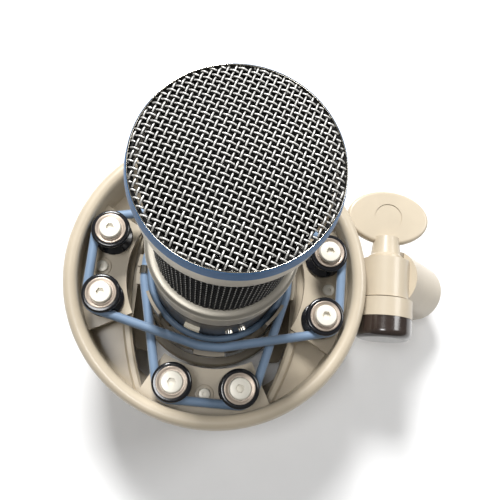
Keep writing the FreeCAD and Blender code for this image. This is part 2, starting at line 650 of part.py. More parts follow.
def make_thumb_screw():
    """Clamping screw with a flat oval paddle; its bolt runs through to the pivot nut."""
    tip_y = NUT_FRONT_Y + 3.2
    collar_y = BARREL_BACK_Y + 0.1
    neck_y = collar_y + 1.6
    end_y = PADDLE_Y - PADDLE_HALF_DEEP + 3
    shaft = turned([(0, tip_y), (BOLT_R, tip_y), (BOLT_R, collar_y), (NECK_R + 1, collar_y),
                    (NECK_R + 1, neck_y), (NECK_R, neck_y + 1), (NECK_R - 1, end_y), (0, end_y)])
    shaft.rotate(V(0, 0, 0), X_AXIS, -90)
    shaft.translate(at_pivot(0))
    outline = Part.Ellipse(V(0, 0, -PADDLE_THICK / 2), PADDLE_HALF_WIDE, PADDLE_HALF_DEEP).toShape()
    paddle = Part.Face(Part.Wire([outline])).extrude(V(0, 0, PADDLE_THICK))
    rims = [edge for edge in paddle.Edges if edge.BoundBox.ZLength < 0.01]
    paddle = paddle.makeFillet(1.5, rims)
    paddle.translate(V(SWIVEL_X, PADDLE_Y, SWIVEL_Z))
    dish_depth = 0.4
    for z in (SWIVEL_Z + PADDLE_THICK / 2 - dish_depth, SWIVEL_Z - PADDLE_THICK / 2):
        paddle = paddle.cut(Part.makeCylinder(6.2, dish_depth, V(SWIVEL_X, PADDLE_Y, z)))
    save("thumb_screw", paddle.fuse(shaft))


def main():
    os.makedirs("parts", exist_ok=True)
    make_body()
    make_connector()
    make_grille()
    make_motor()
    make_electronics()
    cage = make_cage()
    make_spools()
    make_cords()
    make_cradle()
    make_swivel(cage)


main()
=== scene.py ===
"""Ribbon microphone in its elastic shock mount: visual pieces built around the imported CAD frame."""
import math

import bmesh
import bpy
from mathutils import Euler, Matrix, Vector


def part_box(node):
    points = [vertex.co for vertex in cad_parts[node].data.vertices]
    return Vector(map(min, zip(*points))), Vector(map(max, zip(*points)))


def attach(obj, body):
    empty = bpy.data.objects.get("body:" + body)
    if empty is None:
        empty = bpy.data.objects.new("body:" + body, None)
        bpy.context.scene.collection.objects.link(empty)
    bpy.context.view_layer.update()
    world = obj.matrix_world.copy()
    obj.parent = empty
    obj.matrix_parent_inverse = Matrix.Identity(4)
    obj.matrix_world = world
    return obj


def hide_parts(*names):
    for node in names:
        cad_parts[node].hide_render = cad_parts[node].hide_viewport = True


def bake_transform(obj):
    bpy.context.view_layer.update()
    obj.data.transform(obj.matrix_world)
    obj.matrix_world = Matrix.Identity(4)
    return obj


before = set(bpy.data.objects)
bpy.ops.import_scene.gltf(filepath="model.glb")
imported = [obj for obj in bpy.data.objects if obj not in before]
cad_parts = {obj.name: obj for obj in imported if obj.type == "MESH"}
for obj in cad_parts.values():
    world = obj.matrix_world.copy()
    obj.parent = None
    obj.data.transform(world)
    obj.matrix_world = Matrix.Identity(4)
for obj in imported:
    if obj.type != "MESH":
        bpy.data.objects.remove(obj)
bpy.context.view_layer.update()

bl_info = {
    "name": "Ribbon Microphone Pieces",
    "version": (1, 0, 0),
    "blender": (4, 5, 0),
    "location": "View3D > Sidebar > Microphone",
    "description": "Builds a ribbon microphone and its shock mount around a CAD frame",
    "category": "Add Mesh",
}

MM = 0.001
SIDES = ("north", "south", "east", "west")
HANDS = ("left", "right")
DOME_RISE = 3.4 * MM
FINE_DOME_RISE = 3.2 * MM
# Height below which the body tube takes a near-black second colour.
DARK_LOWER_BODY_TOP = 86.0 * MM
SCREW_HOLE_R = 1.6 * MM
TURNED_SEGMENTS = 160
WEAVE_SHARE = 1.15
# Below this share of the weave depth, top wires take the dark material of painted shade.
DIP_SHADE_SHARE = -0.30
EDGE_SHARPNESS = 40.0


# ---- Sizes and colours that a user would change ----------------------------------------
def length(name, description, default_mm, lowest=0.0):
    """A length property whose default is given in millimetres."""
    return bpy.props.FloatProperty(name=name, description=description, default=default_mm * MM,
                                   min=lowest, unit='LENGTH', precision=5)


def colour(name, description, default):
    """A colour property."""
    return bpy.props.FloatVectorProperty(name=name, description=description, default=default,
                                         subtype='COLOR', size=3, min=0.0, max=1.0)


class GrilleSettings(bpy.types.PropertyGroup):
    """Wire cloth of the head."""
    column_pitch: length("Column pitch", "Distance between the wires that run front to back", 1.664)
    row_pitch: length("Row pitch", "Distance between the wires that run side to side", 1.541)
    wire_radius: length("Wire radius", "Radius of the outer cloth's wires", 0.225)
    fine_pitch: length("Fine pitch", "Wire distance of the inner cloth", 0.50)
    fine_radius: length("Fine radius", "Radius of the inner cloth's wires", 0.15)
    turn: bpy.props.FloatProperty(name="Turn", description="Turn of the top cloth about the axis",
                                  default=math.radians(-17.0), subtype='ANGLE')
    around: bpy.props.IntProperty(name="Wires around", description="Upright wires in the side cloth",
                                  default=90, min=8)


class CordSettings(bpy.types.PropertyGroup):
    """Elastic cord."""
    radius: length("Cord radius", "Radius of the elastic cord", 1.9)
    lug_half: length("Lug half width", "Half of the straight run that lies on the cradle", 4.6)
    lug_bend: length("Lug bend", "Bend radius where the cord leaves the cradle", 14.0)


class FinishSettings(bpy.types.PropertyGroup):
    """Main colours."""
    paint: colour("Paint", "Satin paint of the cage and the swivel", (0.50, 0.43, 0.325))
    nickel: colour("Nickel", "Plated body and rings", (0.42, 0.39, 0.33))
    wire: colour("Wire", "Outer wire cloth", (0.70, 0.69, 0.66))
    ring: colour("Ring", "Coloured ring at the head", (0.020, 0.105, 0.25))
    cord: colour("Cord", "Elastic cord", (0.16, 0.24, 0.355))


# ---- Materials ------------------------------------------------------------------------
def add(tree, kind, **values):
    """Node of a kind; values are its input sockets by name, or its own attributes."""
    node = tree.nodes.new(kind)
    for key, value in values.items():
        label = key.replace("_", " ")
        if label in node.inputs:
            node.inputs[label].default_value = value
        else:
            setattr(node, key, value)
    return node


def object_coordinates(tree, scale=(1.0, 1.0, 1.0)):
    """Object coordinates through a Mapping node."""
    source = add(tree, "ShaderNodeTexCoord")
    mapping = add(tree, "ShaderNodeMapping")
    mapping.inputs["Scale"].default_value = scale
    tree.links.new(source.outputs["Object"], mapping.inputs["Vector"])
    return mapping.outputs["Vector"]


def ramp(tree, source, stops):
    """Colour ramp from (position, colour) stops."""
    node = tree.nodes.new("ShaderNodeValToRGB")
    elements = node.color_ramp.elements
    while len(elements) < len(stops):
        elements.new(0.5)
    for element, (position, value) in zip(elements, stops):
        element.position = position
        element.color = (*value, 1.0)
    tree.links.new(source, node.inputs["Fac"])
    return node.outputs["Color"]


def bump(tree, shader, height, strength, distance):
    """Bump from a height socket into the shader's normal."""
    node = add(tree, "ShaderNodeBump", Strength=strength, Distance=distance)
    tree.links.new(height, node.inputs["Height"])
    tree.links.new(node.outputs["Normal"], shader.inputs["Normal"])


def shade(base, factor):
    """Colour made lighter or darker."""
    return tuple(min(1.0, channel * factor) for channel in base)


def finish(name, base, roughness, grain, variation, metallic=0.0, spread=0.08, stretch=(1, 1, 1),
           bump_strength=0.1, bump_mm=0.02, coat=0.0, sheen=0.0, specular=0.5):
    """Procedural finish: slow colour drift, fine grain in the roughness and a fine bump."""
    material = bpy.data.materials.new(name)
    material.use_nodes = True
    tree = material.node_tree
    shader = tree.nodes["Principled BSDF"]
    shader.inputs["Metallic"].default_value = metallic
    shader.inputs["Coat Weight"].default_value = coat
    shader.inputs["Coat Roughness"].default_value = 0.12
    shader.inputs["Sheen Weight"].default_value = sheen
    shader.inputs["Specular IOR Level"].default_value = specular
    drift = add(tree, "ShaderNodeTexNoise", Scale=60.0, Detail=3.0)
    tree.links.new(object_coordinates(tree), drift.inputs["Vector"])
    tint = ramp(tree, drift.outputs["Fac"], [(0.3, shade(base, 1 - variation)),
                                             (0.7, shade(base, 1 + variation))])
    tree.links.new(tint, shader.inputs["Base Color"])
    fine = add(tree, "ShaderNodeTexNoise", Scale=grain, Detail=5.0)
    tree.links.new(object_coordinates(tree, stretch), fine.inputs["Vector"])
    rough = add(tree, "ShaderNodeMapRange")
    rough.inputs["To Min"].default_value = max(0.02, roughness - spread)
    rough.inputs["To Max"].default_value = roughness + spread
    tree.links.new(fine.outputs["Fac"], rough.inputs["Value"])
    tree.links.new(rough.outputs["Result"], shader.inputs["Roughness"])
    bump(tree, shader, fine.outputs["Fac"], bump_strength, bump_mm * MM)
    return material


def make_materials(colours):
    """Every finish by a plain name: colour, roughness, grain, variation, then what is special."""
    lathe_lines = (0.4, 0.4, 12.0)
    plated = {"metallic": 1.0}
    brushed = {"stretch": lathe_lines}
    smooth_grain = {"bump_mm": 0.01}
    satin = {"bump_mm": 0.03, "bump_strength": 0.15}
    table = {
        "paint": ("satin_paint", colours.paint, 0.36, 1400, 0.05,
                  {"bump_mm": 0.03, "bump_strength": 0.12, "coat": 0.25}),
        # Painted shade: wing and inner paint are the satin paint darkened to 0.70 and 0.50 for the
        # shade deep in the mount.
        "wing_paint": ("wing_paint", shade(colours.paint, 0.70), 0.45, 1400, 0.06, satin),
        "inner_paint": ("inner_paint", shade(colours.paint, 0.50), 0.45, 1400, 0.06, satin),
        "nickel": ("body_nickel", colours.nickel, 0.38, 260, 0.05,
                   {"metallic": 0.7, **brushed, **smooth_grain}),
        "bright": ("bright_nickel", (0.66, 0.63, 0.56), 0.13, 900, 0.03,
                   {**plated, "bump_mm": 0.005, "spread": 0.05}),
        "washer": ("dished_washer", (0.42, 0.35, 0.29), 0.36, 700, 0.05,
                   {"metallic": 0.7, **smooth_grain}),
        "wire": ("wire_cloth", colours.wire, 0.42, 1500, 0.10, {"metallic": 0.55, **smooth_grain}),
        # Painted shade: the wire colour darkened to 0.16 for the parts of the top wires that dip
        # under the crossing wires.
        "low_wire": ("low_wire_cloth", shade(colours.wire, 0.16), 0.5, 1500, 0.2,
                     {"metallic": 0.6, "specular": 0.2, **smooth_grain}),
        # Painted shade: the side uprights take the wire colour darkened to 0.20 for the shade on the
        # head's side.
        "side_wire": ("side_wire_cloth", shade(colours.wire, 0.20), 0.24, 1500, 0.15,
                      {**plated, **smooth_grain}),
        "fine_wire": ("fine_wire_cloth", (0.010, 0.010, 0.009), 0.7, 1500, 0.3,
                      {"specular": 0.1, **smooth_grain}),
        "ring": ("coloured_ring", colours.ring, 0.45, 900, 0.06,
                 {"bump_mm": 0.004, "specular": 0.25}),
        "black": ("gloss_black", (0.008, 0.008, 0.010), 0.16, 500, 0.3,
                  {"coat": 0.5, **smooth_grain}),
        "nut": ("dark_nut", (0.030, 0.020, 0.016), 0.22, 500, 0.3, {"coat": 0.8, **smooth_grain}),
        "cord": ("elastic_cord", colours.cord, 0.55, 2600, 0.09,
                 {"bump_mm": 0.05, "bump_strength": 0.25, "sheen": 0.35}),
        "bumper": ("bumper_elastomer", shade(colours.cord, 0.75), 0.5, 1800, 0.08,
                   {"bump_mm": 0.03}),
        "nylon": ("nylon", (0.62, 0.60, 0.55), 0.5, 900, 0.04, {}),
        "brass": ("brass", (0.62, 0.47, 0.20), 0.3, 900, 0.06, plated),
        "plastic": ("connector_plastic", (0.018, 0.018, 0.019), 0.42, 1500, 0.2, {}),
        "machined": ("machined_metal", (0.55, 0.55, 0.56), 0.32, 500, 0.06,
                     {**plated, **brushed}),
        "magnet": ("ground_steel", (0.24, 0.24, 0.25), 0.4, 900, 0.1, plated),
        "foil": ("foil", (0.86, 0.86, 0.87), 0.2, 900, 0.04, plated),
        "rubber": ("soft_rubber", (0.03, 0.03, 0.03), 0.7, 1200, 0.2, {}),
        "board": ("circuit_board", (0.02, 0.12, 0.05), 0.4, 800, 0.15, {}),
        "insulation": ("wire_insulation", (0.35, 0.02, 0.015), 0.45, 900, 0.1, {}),
        # Black metal for the inner motor parts; the same material is painted shade on the side hoops
        # and in the top ring's seat.
        "blackened": ("blackened_metal", (0.010, 0.010, 0.010), 0.6, 900, 0.2, {"specular": 0.2}),
        # Near-black colour of the body tube below that height.
        "lower_body": ("lower_body_bronze", (0.035, 0.028, 0.022), 0.3, 260, 0.1,
                       {"metallic": 0.3, **brushed}),
        "button": ("screw_head", (0.80, 0.76, 0.66), 0.40, 900, 0.03,
                   {"metallic": 0.2, "bump_mm": 0.005}),
        # Painted shade: dark colour in the hex sockets of the button screws for the shade in the
        # recess.
        "socket": ("screw_socket", (0.05, 0.048, 0.020), 0.5, 900, 0.2, {"metallic": 0.2}),
        "key": ("key_block", (0.85, 0.78, 0.62), 0.5, 900, 0.05, {}),
    }
    return {key: finish(*plain, **special) for key, (*plain, special) in table.items()}


MATERIALS = {}


# ---- Mesh helpers ---------------------------------------------------------------------
def finish_piece(piece, body, material, replaced=()):
    """Give a finished piece its material and its body, and hide the CAD nodes that it replaces."""
    if len(piece.data.materials) < 2:
        piece.data.materials.clear()
        piece.data.materials.append(MATERIALS[material])
    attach(piece, body)
    if replaced:
        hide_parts(*replaced)
    return piece


def object_from(bm, name, smooth_angle=35.0):
    """Object with outward normals from a bmesh."""
    bmesh.ops.recalc_face_normals(bm, faces=bm.faces)
    mesh = bpy.data.meshes.new(name)
    bm.to_mesh(mesh)
    bm.free()
    piece = bpy.data.objects.new(name, mesh)
    bpy.context.collection.objects.link(piece)
    smooth(piece, smooth_angle)
    return piece


def smooth(piece, angle=35.0):
    """Smooth faces, with edges sharper than an angle kept crisp."""
    mesh = piece.data
    mesh.shade_smooth()
    mesh.set_sharp_from_angle(angle=math.radians(angle))


def rounded(corners, radius, steps=4, closed=True):
    """Outline of (r, z) corners, each rounded by an arc of up to a radius."""
    points = []
    count = len(corners)
    for i in range(count):
        corner = Vector(corners[i])
        if not closed and i in (0, count - 1):
            points.append(corner)
            continue
        back = Vector(corners[i - 1]) - corner
        ahead = Vector(corners[(i + 1) % count]) - corner
        reach = min(radius, back.length * 0.45, ahead.length * 0.45)
        start = corner + back.normalized() * reach
        end = corner + ahead.normalized() * reach
        for step in range(steps + 1):
            t = step / steps
            points.append(start.lerp(corner, t).lerp(corner.lerp(end, t), t))
    return points


def on_circle(centre, radius, k, count, z):
    """The k-th of count points on a level circle."""
    angle = 2 * math.pi * k / count
    return centre[0] + radius * math.cos(angle), centre[1] + radius * math.sin(angle), z


def lathe_into(bm, outline, centre=(0.0, 0.0), segments=128, closed=True):
    """Turn an outline of (r, z) points about a vertical axis; closed outlines make rings."""
    rings = []
    for r, z in outline:
        if r < 1e-7:
            rings.append([bm.verts.new((centre[0], centre[1], z))])
            continue
        rings.append([bm.verts.new(on_circle(centre, r, k, segments, z)) for k in range(segments)])
    pairs = list(zip(rings, rings[1:]))
    if closed:
        pairs.append((rings[-1], rings[0]))
    for low, high in pairs:
        for k in range(segments):
            nxt = (k + 1) % segments
            corners = [low[k % len(low)], low[nxt % len(low)],
                       high[nxt % len(high)], high[k % len(high)]]
            unique = list(dict.fromkeys(corners))
            if len(unique) > 2:
                bm.faces.new(unique)


def lathe(name, corners, bevel=0.3 * MM, segments=128, closed=True, steps=4):
    """Turned piece about the microphone's axis."""
    bm = bmesh.new()
    lathe_into(bm, rounded(corners, bevel, steps, closed), segments=segments, closed=closed)
    return object_from(bm, name)


def node_span(node):
    """Lowest and highest corner of a CAD node as vectors."""
    low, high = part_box(node)
    return Vector(low), Vector(high)


def node_radius(node):
    """Half of a round node's width."""
    low, high = node_span(node)
    return (high.x - low.x) / 2


def ring_corners(r_in, r_out, z_low, z_high):
    """Four corners of a plain ring's section."""
    return [(r_in, z_low), (r_out, z_low), (r_out, z_high), (r_in, z_high)]


# ---- Node groups for wire cloth -------------------------------------------------------
class Builder:
    """Small helper that wires up a geometry node tree."""

    def __init__(self, name, inputs):
        self.tree = bpy.data.node_groups.new(name, "GeometryNodeTree")
        interface = self.tree.interface
        interface.new_socket("Geometry", in_out='OUTPUT', socket_type='NodeSocketGeometry')
        self.identifiers = {}
        for label, kind, default in inputs:
            socket = interface.new_socket(label, in_out='INPUT', socket_type=kind)
            if default is not None:
                socket.default_value = default
            self.identifiers[label] = socket.identifier
        self.entry = self.tree.nodes.new("NodeGroupInput")
        self.exit = self.tree.nodes.new("NodeGroupOutput")

    def given(self, label):
        return self.entry.outputs[label]

    def node(self, kind, links=None, **attributes):
        node = self.tree.nodes.new(kind)
        for key, value in attributes.items():
            setattr(node, key, value)
        for key, value in (links or {}).items():
            socket = node.inputs[key]
            if isinstance(value, bpy.types.NodeSocket):
                self.tree.links.new(value, socket)
            else:
                socket.default_value = value
        return node

    def math(self, operation, a, b=0.0, c=0.0):
        return self.node("ShaderNodeMath", {0: a, 1: b, 2: c}, operation=operation).outputs[0]

    def vector(self, x=0.0, y=0.0, z=0.0):
        return self.node("ShaderNodeCombineXYZ", {0: x, 1: y, 2: z}).outputs[0]

    def position(self):
        node = self.node("ShaderNodeSeparateXYZ",
                         {0: self.node("GeometryNodeInputPosition").outputs[0]})
        return node.outputs[0], node.outputs[1], node.outputs[2]

    def keep_lift(self, curves, lift):
        """Store how far each point stands above the weave's middle, for the painted shade on the
        dips.
        """
        node = self.node("GeometryNodeStoreNamedAttribute", {"Geometry": curves, "Name": "lift"})
        value = next(socket for socket in node.inputs if socket.name == "Value" and socket.enabled)
        self.tree.links.new(lift, value)
        return node.outputs[0]

    def paint_dip_shade(self, geometry):
        """Painted shade: a dark second material on the parts that dive below the weave's middle."""
        stored = self.node("GeometryNodeInputNamedAttribute", {"Name": "lift"})
        lift = next(socket for socket in stored.outputs if socket.enabled)
        limit = self.math('MULTIPLY', self.math('ABSOLUTE', self.given("Weave")), DIP_SHADE_SHARE)
        low = self.math('LESS_THAN', lift, limit)
        painted = self.node("GeometryNodeSetMaterial", {"Geometry": geometry, "Selection": low,
                                                        "Material": self.given("Dip Shade Material")})
        return painted.outputs[0]

    def copies(self, curve, **placing):
        """One curve repeated along a line of points."""
        rows = self.node("GeometryNodeMeshLine",
                         {"Count": self.given("Wires"),
                          **{key.replace("_", " "): value for key, value in placing.items()}})
        placed = self.node("GeometryNodeInstanceOnPoints",
                           {"Points": rows.outputs[0], "Instance": curve})
        return self.node("GeometryNodeRealizeInstances", {0: placed.outputs[0]}).outputs[0]

    def finish(self, curves, painted_dip_shade=False):
        """Give the curves their thickness and their material, with painted shade on the weave's dips
        when asked, and end the tree.
        """
        profile = self.node("GeometryNodeCurvePrimitiveCircle",
                            {"Resolution": self.given("Sides"), "Radius": self.given("Wire Radius")})
        tubes = self.node("GeometryNodeCurveToMesh",
                          {"Curve": curves, "Profile Curve": profile.outputs[0], "Fill Caps": True})
        real = self.node("GeometryNodeRealizeInstances", {0: tubes.outputs[0]})
        soft = self.node("GeometryNodeSetShadeSmooth", {0: real.outputs[0]})
        paint = self.node("GeometryNodeSetMaterial",
                          {"Geometry": soft.outputs[0], "Material": self.given("Material")})
        result = self.paint_dip_shade(paint.outputs[0]) if painted_dip_shade else paint.outputs[0]
        self.tree.links.new(result, self.exit.inputs[0])


SHARED_INPUTS = [("Wires", 'NodeSocketInt', 10), ("Wire Pitch", 'NodeSocketFloat', 1.0),
                 ("Crossing Pitch", 'NodeSocketFloat', 1.0), ("Wire Radius", 'NodeSocketFloat', 0.1),
                 ("Weave", 'NodeSocketFloat', 0.1), ("Offset", 'NodeSocketFloat', 0.0),
                 ("Sides", 'NodeSocketInt', 6), ("Samples", 'NodeSocketInt', 100),
                 ("Material", 'NodeSocketMaterial', None)]


def weave_height(b, along, index):
    """Rise and fall of one wire over and under those that cross it."""
    phase = b.math('DIVIDE', along, b.given("Crossing Pitch"))
    turns = b.math('MULTIPLY', b.math('ADD', phase, index), math.pi)
    return b.math('MULTIPLY', b.math('COSINE', turns), b.given("Weave"))


def disc_cloth_tree():
    """Parallel woven wires over a crowned disc, tucked down at its edge, with painted shade on their
    dips.
    """
    b = Builder("Disc Cloth", SHARED_INPUTS + [
        ("Disc Radius", 'NodeSocketFloat', 1.0), ("Rise", 'NodeSocketFloat', 0.1),
        ("Edge Height", 'NodeSocketFloat', 0.0), ("Tuck", 'NodeSocketFloat', 0.1),
        ("Turn", 'NodeSocketFloat', 0.0), ("Dip Shade Material", 'NodeSocketMaterial', None)])
    reach = b.given("Disc Radius")
    line = b.node("GeometryNodeCurvePrimitiveLine",
                  {"Start": b.vector(b.math('MULTIPLY', reach, -1.0)), "End": b.vector(reach)})
    fine = b.node("GeometryNodeResampleCurve",
                  {"Curve": line.outputs[0], "Count": b.given("Samples")})
    gaps = b.math('SUBTRACT', b.given("Wires"), 1.0)
    half = b.math('MULTIPLY', b.math('MULTIPLY', gaps, b.given("Wire Pitch")), -0.5)
    wires = b.copies(fine.outputs[0], Start_Location=b.vector(y=half),
                     Offset=b.vector(y=b.given("Wire Pitch")))
    x, y, _ = b.position()
    radius = b.math('SQRT', b.math('ADD', b.math('MULTIPLY', x, x), b.math('MULTIPLY', y, y)))
    index = b.math('ROUND', b.math('DIVIDE', y, b.given("Wire Pitch")))
    share = b.math('DIVIDE', radius, reach)
    fall = b.math('MULTIPLY', share, share)
    crown = b.math('MULTIPLY', b.math('SUBTRACT', 1.0, fall), b.given("Rise"))
    edge = b.math('POWER', b.math('MINIMUM', share, 1.0), EDGE_SHARPNESS)
    tuck = b.math('MULTIPLY', edge, b.given("Tuck"))
    height = b.math('ADD', b.given("Edge Height"), b.math('SUBTRACT', crown, tuck))
    lift = weave_height(b, x, index)
    height = b.math('ADD', height, b.math('ADD', b.given("Offset"), lift))
    marked = b.keep_lift(wires, lift)
    moved = b.node("GeometryNodeSetPosition",
                   {"Geometry": marked, "Position": b.vector(x, y, height)})
    outside = b.math('GREATER_THAN', radius, reach)
    kept = b.node("GeometryNodeDeleteGeometry",
                  {"Geometry": moved.outputs[0], "Selection": outside})
    turned = b.node("GeometryNodeTransform", {"Geometry": kept.outputs[0],
                                              "Rotation": b.vector(z=b.given("Turn"))})
    b.finish(turned.outputs[0], painted_dip_shade=True)
    return b


def upright_cloth_tree():
    """Upright woven wires round a sleeve."""
    b = Builder("Upright Cloth", SHARED_INPUTS + [
        ("Sleeve Radius", 'NodeSocketFloat', 1.0), ("Low", 'NodeSocketFloat', 0.0),
        ("High", 'NodeSocketFloat', 1.0)])
    line = b.node("GeometryNodeCurvePrimitiveLine", {"Start": b.vector(z=b.given("Low")),
                                                     "End": b.vector(z=b.given("High"))})
    fine = b.node("GeometryNodeResampleCurve",
                  {"Curve": line.outputs[0], "Count": b.given("Samples")})
    wires = b.copies(fine.outputs[0], Offset=(1.0, 0.0, 0.0))
    x, _, z = b.position()
    index = b.math('ROUND', x)
    angle = b.math('MULTIPLY', b.math('DIVIDE', index, b.given("Wires")), 2 * math.pi)
    weave = weave_height(b, b.math('SUBTRACT', z, b.given("Low")), index)
    radius = b.math('ADD', b.given("Sleeve Radius"), b.math('ADD', b.given("Offset"), weave))
    place = b.vector(b.math('MULTIPLY', radius, b.math('COSINE', angle)),
                     b.math('MULTIPLY', radius, b.math('SINE', angle)), z)
    moved = b.node("GeometryNodeSetPosition", {"Geometry": wires, "Position": place})
    b.finish(moved.outputs[0])
    return b


def hoop_cloth_tree():
    """Level woven hoops round a sleeve; Crossing Pitch is an angle here."""
    b = Builder("Hoop Cloth", SHARED_INPUTS + [
        ("Sleeve Radius", 'NodeSocketFloat', 1.0), ("Low", 'NodeSocketFloat', 0.0)])
    hoop = b.node("GeometryNodeCurvePrimitiveCircle",
                  {"Resolution": b.given("Samples"), "Radius": 1.0})
    wires = b.copies(hoop.outputs[0], Start_Location=b.vector(z=b.given("Low")),
                     Offset=b.vector(z=b.given("Wire Pitch")))
    x, y, z = b.position()
    climb = b.math('SUBTRACT', z, b.given("Low"))
    index = b.math('ROUND', b.math('DIVIDE', climb, b.given("Wire Pitch")))
    weave = weave_height(b, b.math('ARCTAN2', y, x), index)
    radius = b.math('ADD', b.given("Sleeve Radius"), b.math('SUBTRACT', b.given("Offset"), weave))
    place = b.vector(b.math('MULTIPLY', x, radius), b.math('MULTIPLY', y, radius), z)
    moved = b.node("GeometryNodeSetPosition", {"Geometry": wires, "Position": place})
    b.finish(moved.outputs[0])
    return b


def grow(name, builder, values):
    """Plain mesh object grown by a node tree with given input values."""
    seed_mesh = bpy.data.meshes.new(name + "_seed")
    seed = bpy.data.objects.new(name + "_seed", seed_mesh)
    bpy.context.collection.objects.link(seed)
    modifier = seed.modifiers.new("Cloth", 'NODES')
    modifier.node_group = builder.tree
    for label, value in values.items():
        modifier[builder.identifiers[label]] = value
    graph = bpy.context.evaluated_depsgraph_get()
    graph.update()
    mesh = bpy.data.meshes.new_from_object(seed.evaluated_get(graph))
    mesh.name = name
    stored = mesh.attributes.get("lift")
    if stored is not None:
        mesh.attributes.remove(stored)
    bpy.data.objects.remove(seed)
    piece = bpy.data.objects.new(name, mesh)
    bpy.context.collection.objects.link(piece)
    if len(mesh.polygons) == 0:
        raise RuntimeError("no wires were made for " + name)
    return piece


# ---- Operators: the head --------------------------------------------------------------
class MIC_OT_grille(bpy.types.Operator):
    """Weave the outer wire cloth of the head, top and side"""
    bl_idname = "mic.grille"
    bl_label = "Wire cloth"

    def execute(self, context):
        cloth = context.scene.mic_grille
        top = node_span("grille_mesh_top")[1].z
        radius = node_radius("grille_mesh_top") - 0.1 * MM
        weave = cloth.wire_radius * WEAVE_SHARE
        rise = DOME_RISE - weave
        disc = disc_cloth_tree()
        common = {"Wire Radius": cloth.wire_radius, "Weave": weave, "Sides": 7,
                  "Material": MATERIALS["wire"]}
        for name, pitch, crossing, side, turn in (
                ("grille_top_rows", cloth.row_pitch, cloth.column_pitch, 1.0, 0.0),
                ("grille_top_columns", cloth.column_pitch, cloth.row_pitch, -1.0, math.pi / 2)):
            count = 2 * int(radius / pitch) + 1
            values = {**common, "Wires": count, "Wire Pitch": pitch, "Crossing Pitch": crossing,
                      "Weave": weave * side, "Disc Radius": radius, "Rise": rise,
                      "Samples": int(2 * radius / crossing * 8) + 1, "Tuck": 0.6 * MM,
                      "Dip Shade Material": MATERIALS["low_wire"],
                      "Edge Height": top - DOME_RISE - cloth.wire_radius,
                      "Turn": cloth.turn + turn}
            finish_piece(grow(name, disc, values), "microphone", "wire",
                         ("grille_mesh_top",))
        self.weave_side(cloth, common, weave)
        return {'FINISHED'}

    def weave_side(self, cloth, common, weave):
        """Side cloth between the shoulder and the top ring, in darkened colours that paint in shade.
        """
        low, high = node_span("grille_mesh_side")
        sleeve = node_radius("grille_mesh_side") - 1.4 * cloth.wire_radius - weave
        rows = int((high.z - low.z) / cloth.row_pitch)
        shared = {**common, "Sides": 5, "Sleeve Radius": sleeve, "Low": low.z}
        uprights = {"Wires": cloth.around, "Crossing Pitch": cloth.row_pitch,
                    "High": high.z - 1.0 * MM, "Samples": rows * 4 + 1,
                    "Offset": 0.35 * cloth.wire_radius}
        hoops = {"Wires": rows, "Wire Pitch": cloth.row_pitch, "Samples": cloth.around * 4,
                 "Crossing Pitch": 2 * math.pi / cloth.around}
        # Painted shade on both side wire sets: the darkened wire colour on the uprights and the black
        # material on the hoops.
        finish_sleeve("grille_side", "grille_mesh_side", shared,
                      (uprights, "side_wire"), (hoops, "blackened"))


def finish_sleeve(prefix, node, shared, uprights, hoops):
    """Grow and finish the two sets of wires of a side cloth."""
    for name, tree, (own, material) in (("_uprights", upright_cloth_tree, uprights),
                                        ("_hoops", hoop_cloth_tree, hoops)):
        piece = grow(prefix + name, tree(), {**shared, **own})
        finish_piece(piece, "microphone", material, (node,))


class MIC_OT_fine_cloth(bpy.types.Operator):
    """Lay the finer inner cloth under the outer one"""
    bl_idname = "mic.fine_cloth"
    bl_label = "Fine inner cloth"

    def execute(self, context):
        cloth = context.scene.mic_grille
        top = node_span("fine_mesh_top")[1].z
        radius = node_radius("fine_mesh_top") - cloth.fine_radius
        disc = disc_cloth_tree()
        common = {"Wire Radius": cloth.fine_radius, "Weave": 0.0,
                  "Material": MATERIALS["fine_wire"]}
        for name, offset, turn in (("fine_top_rows", 1.0, 0.0),
                                   ("fine_top_columns", -1.0, math.pi / 2)):
            values = {**common, "Wires": 2 * int(radius / cloth.fine_pitch) + 1,
                      "Wire Pitch": cloth.fine_pitch, "Crossing Pitch": cloth.fine_pitch,
                      "Offset": offset * cloth.fine_radius, "Sides": 5, "Samples": 33,
                      "Disc Radius": radius, "Rise": FINE_DOME_RISE,
                      "Edge Height": top - 3.6 * MM, "Tuck": 1.0 * MM,
                      "Turn": cloth.turn + turn + math.radians(40),
                      "Dip Shade Material": MATERIALS["fine_wire"]}
            finish_piece(grow(name, disc, values), "microphone", "fine_wire",
                         ("fine_mesh_top",))
        low, high = node_span("fine_mesh_side")
        sleeve = node_radius("fine_mesh_side") - 2.2 * cloth.fine_radius
        shared = {**common, "Sides": 4, "Sleeve Radius": sleeve, "Low": low.z,
                  "Crossing Pitch": 1.0}
        uprights = {"Wires": 2 * int(math.pi * sleeve / cloth.fine_pitch), "High": high.z,
                    "Offset": cloth.fine_radius, "Samples": 2}
        hoops = {"Wires": int((high.z - low.z) / cloth.fine_pitch), "Samples": 128,
                 "Wire Pitch": cloth.fine_pitch, "Offset": -cloth.fine_radius}
        finish_sleeve("fine_side", "fine_mesh_side", shared,
                      (uprights, "fine_wire"), (hoops, "fine_wire"))
        return {'FINISHED'}


